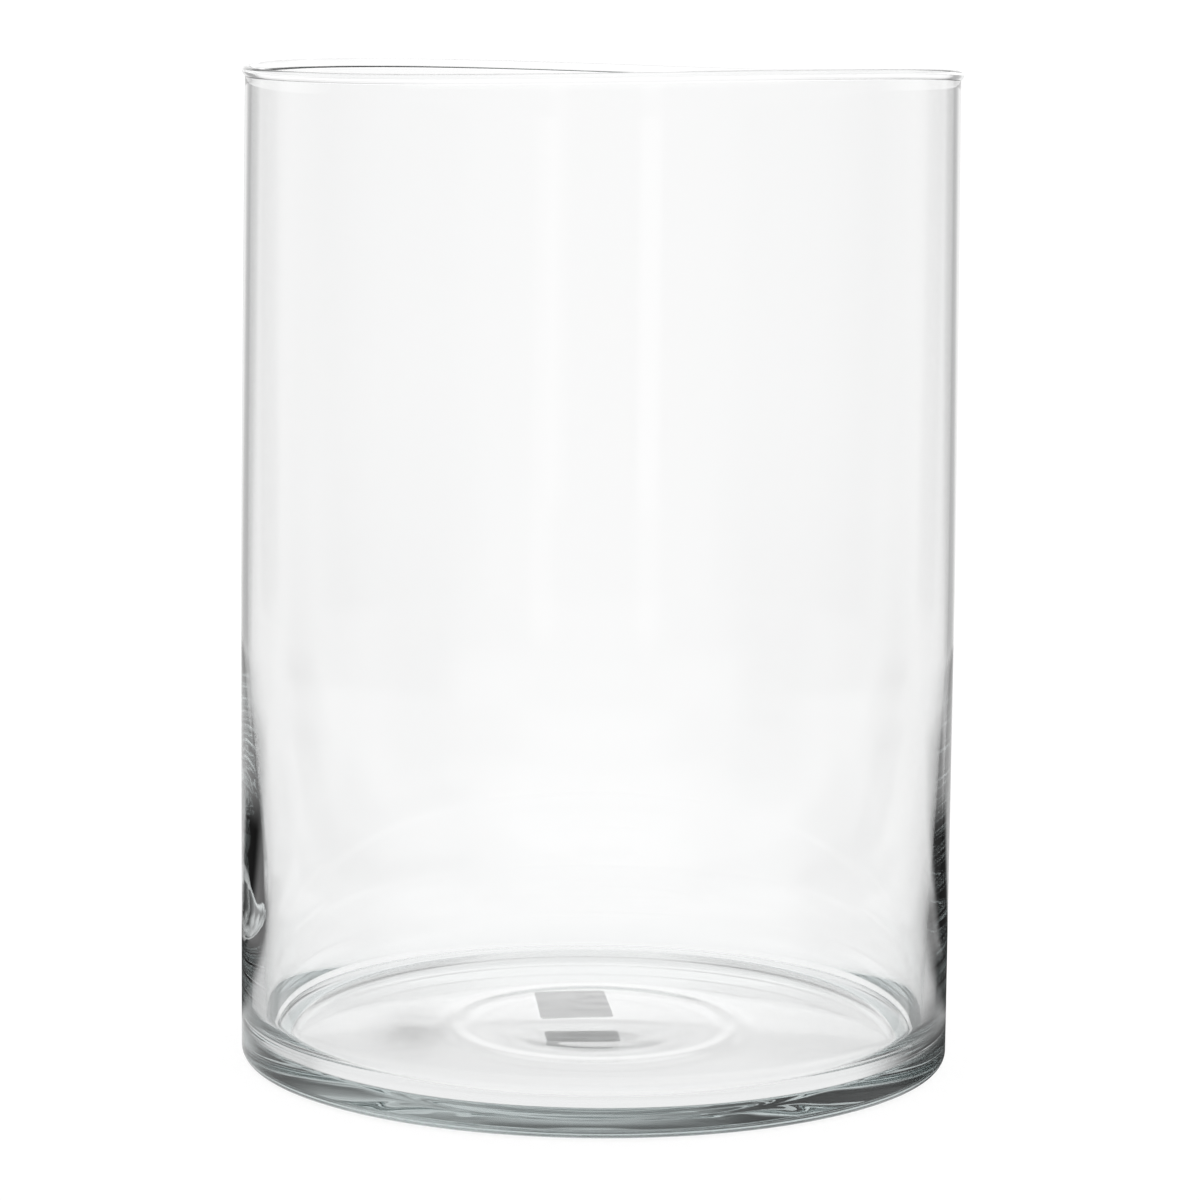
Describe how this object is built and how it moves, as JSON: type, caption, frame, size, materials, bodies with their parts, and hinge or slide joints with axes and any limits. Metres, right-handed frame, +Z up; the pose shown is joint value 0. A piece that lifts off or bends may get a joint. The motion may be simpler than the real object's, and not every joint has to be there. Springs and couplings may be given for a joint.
{
  "type": "cylinder vase",
  "caption": "Clear glass cylinder vase, very slightly narrower at its fire-polished mouth, with a thick base that has a shallow push-up, and two small blank labels under it.",
  "frame": {"origin": "centre of the circle that the vase stands on", "axes": "+Z up along the vase's axis, out of its mouth; +X and +Y are alike, because the vessel is turned"},
  "size_m": [0.202, 0.202, 0.282],
  "materials": {
    "glass": "clear, fire-polished, with a faint grey-green tint through the thick base",
    "label": "matt grey film"
  },
  "bodies": {
    "root": {"glass_vessel": "glass", "base_label": "label", "care_label": "label"}
  },
  "joints": []
}
